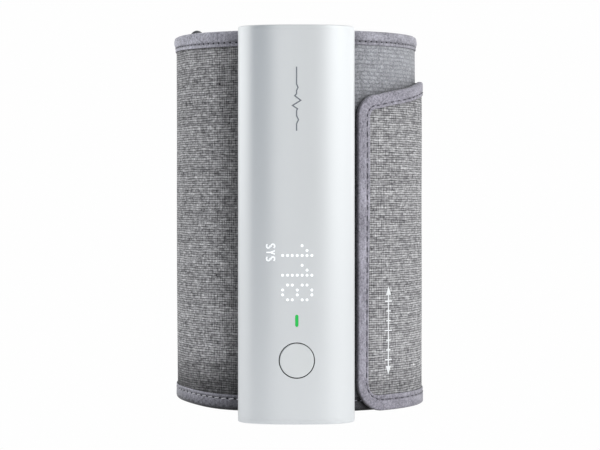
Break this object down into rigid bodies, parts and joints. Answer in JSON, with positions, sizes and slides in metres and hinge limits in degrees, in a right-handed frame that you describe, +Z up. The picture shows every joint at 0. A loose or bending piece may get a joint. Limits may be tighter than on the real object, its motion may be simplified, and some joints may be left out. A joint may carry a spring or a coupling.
{
  "type": "blood pressure cuff",
  "caption": "Upper-arm blood pressure cuff with a tube-shaped monitor on its front, a slide ring at the back and a flap that folds back and overlaps the cuff.",
  "frame": {"origin": "centre of the monitor tube's bottom face", "axes": "+Z up, along the arm and the monitor tube; -Y is the front, the side the monitor faces; +X is the viewer's right, the side the flap ends on"},
  "size_m": [0.1069, 0.1378, 0.1634],
  "materials": {
    "satin_silver": "satin silver-white painted plastic",
    "heather_woven": "heather grey plain weave",
    "loop_knit": "ribbed loop knit, light grey",
    "hook_tape": "fine hook tape, dark grey",
    "lining": "smooth coated nylon lining, dark grey",
    "binding": "folded edge tape, grey with a purple cast",
    "bladder_tpu": "translucent welded film",
    "dark_plastic": "fine textured",
    "grey_plastic": "fine textured",
    "steel": "plated",
    "circuit_board": "solder mask",
    "component_black": "moulded",
    "copper": "bright",
    "silicone": "soft, milky",
    "cell_wrap": "heat-shrink wrap",
    "white_diffuser": "milky",
    "green_light_pipe": "clear green, lit"
  },
  "bodies": {
    "monitor_and_cuff": {"tube_sleeve": "satin_silver", "top_cap": "satin_silver", "bottom_cap": "satin_silver", "charging_socket": "steel", "tact_switch": "steel", "button_return_pad": "silicone", "display_diffuser": "white_diffuser", "led_matrix": "component_black", "status_light_pipe": "green_light_pipe", "main_board": "circuit_board", "radio_shield": "steel", "board_screw_lower": "steel", "board_screw_upper": "steel", "chassis": "dark_plastic", "battery_cell": "cell_wrap", "pump_motor": "steel", "pump_head": "dark_plastic", "pump_diaphragms": "silicone", "release_valve": "steel", "valve_spring": "steel", "air_manifold": "grey_plastic", "pressure_sensor": "component_black", "pump_hose": "silicone", "cuff_hose": "silicone", "saddle": "dark_plastic", "saddle_screw_1": "steel", "saddle_screw_2": "steel", "saddle_screw_3": "steel", "saddle_screw_4": "steel", "stiffener_plate": "grey_plastic", "air_bladder": "bladder_tpu", "cuff_lining": "lining", "shell_fabric": "heather_woven", "loop_panel": "loop_knit", "binding_top": "binding", "binding_bottom": "binding", "ring_sleeve": "heather_woven"},
    "start_button": {"start_button": "satin_silver"},
    "switch_plunger": {"switch_plunger": "component_black"},
    "pump_crank": {"pump_crank": "copper"},
    "valve_armature": {"valve_armature": "steel"},
    "slide_ring": {"slide_ring": "steel"},
    "flap_rear": {"flap_fold": "heather_woven", "flap_fabric_rear": "heather_woven", "flap_backing_rear": "lining", "flap_binding_top_rear": "binding", "flap_binding_bottom_rear": "binding"},
    "flap_side": {"flap_fabric_side": "heather_woven", "flap_backing_side": "lining", "flap_binding_top_side": "binding", "flap_binding_bottom_side": "binding"},
    "flap_front": {"flap_fabric_front": "heather_woven", "flap_hook_front": "hook_tape", "flap_binding_top_front": "binding", "flap_binding_bottom_front": "binding"},
    "flap_tip": {"flap_fabric_tip": "heather_woven", "flap_hook_tip": "hook_tape", "flap_binding_tip": "binding"}
  },
  "joints": [
    {"name": "button_press", "type": "slide", "parent": "monitor_and_cuff", "child": "start_button", "axis": [0, 1, 0], "range_m": [0, 0.0005], "stiffness_N_per_m": 400},
    {"name": "switch_travel", "type": "slide", "parent": "monitor_and_cuff", "child": "switch_plunger", "axis": [0, 1, 0], "range_m": [0, 0.0005]},
    {"name": "pump_spin", "type": "hinge", "parent": "monitor_and_cuff", "child": "pump_crank", "pos_m": [-0.009, 0.0015, 0.114], "axis": [0, 0, 1], "continuous": true},
    {"name": "valve_lift", "type": "slide", "parent": "monitor_and_cuff", "child": "valve_armature", "axis": [0, 0, 1], "range_m": [0, 0.0008], "deforming": ["valve_spring"]},
    {"name": "ring_swing", "type": "hinge", "parent": "monitor_and_cuff", "child": "slide_ring", "pos_m": [-0.04682, 0.09113, 0.08], "axis": [0, 0, 1], "range_deg": [-2.5, 2.5]},
    {"name": "flap_open", "type": "hinge", "parent": "monitor_and_cuff", "child": "flap_rear", "pos_m": [-0.04175, 0.0995, 0.08], "axis": [0, 0, 1], "range_deg": [0, 50]},
    {"name": "flap_side_bend", "type": "hinge", "parent": "flap_rear", "child": "flap_side", "pos_m": [-0.0019, 0.12287, 0.08], "axis": [0, 0, 1], "range_deg": [0, 60]},
    {"name": "flap_front_bend", "type": "hinge", "parent": "flap_side", "child": "flap_front", "pos_m": [0.04456, 0.0997, 0.08], "axis": [0, 0, 1], "range_deg": [0, 60]},
    {"name": "tip_lift", "type": "hinge", "parent": "flap_front", "child": "flap_tip", "pos_m": [0.05112, 0.04989, 0.08], "axis": [0, 0, 1], "range_deg": [0, 60]}
  ],
  "couplings": [
    {"joint": "switch_travel", "follows": "button_press", "ratio": 1},
    {"joint": "flap_side_bend", "follows": "flap_open", "ratio": 1.2},
    {"joint": "flap_front_bend", "follows": "flap_open", "ratio": 1.2}
  ]
}
